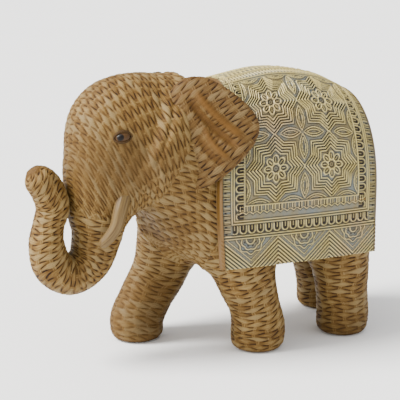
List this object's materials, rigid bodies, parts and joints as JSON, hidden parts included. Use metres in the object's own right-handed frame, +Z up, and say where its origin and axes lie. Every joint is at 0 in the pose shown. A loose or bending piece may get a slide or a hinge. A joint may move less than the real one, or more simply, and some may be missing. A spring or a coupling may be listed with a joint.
{
  "type": "elephant figurine",
  "caption": "Standing elephant figurine with woven-looking skin, raised curled trunk, wide ears, tusks and an embossed gilt saddle blanket.",
  "frame": {"origin": "on the ground, at the middle of the figure's length and width", "axes": "the elephant faces -X, its left side is towards -Y, +Z is up"},
  "size_m": [0.2694, 0.1198, 0.192],
  "materials": {
    "woven_skin": "cast resin in the relief of split-cane weave, painted tan with dark brown recesses and pale dry-brushed highlights",
    "ear_skin": "the same painted resin, smoother and warmer brown along the ear's folds",
    "tusk": "smooth painted resin, pale tan with lengthwise streaks",
    "eye": "brown painted eye with a dark pupil under a little gloss",
    "blanket_gilt": "embossed resin, silvery blue-grey with rubbed gold on the raised lines and brown in the recesses",
    "felt": "thin dark felt disc"
  },
  "bodies": {
    "root": {"torso": "woven_skin", "head_with_trunk": "woven_skin", "saddle_blanket": "blanket_gilt", "tail": "woven_skin", "ear_left": "ear_skin", "ear_right": "ear_skin", "tusk_left": "tusk", "tusk_right": "tusk", "eye_left": "eye", "eye_right": "eye", "leg_front_left": "woven_skin", "leg_front_right": "woven_skin", "leg_rear_left": "woven_skin", "leg_rear_right": "woven_skin", "felt_pad_front_left": "felt", "felt_pad_front_right": "felt", "felt_pad_rear_left": "felt", "felt_pad_rear_right": "felt"}
  },
  "joints": []
}
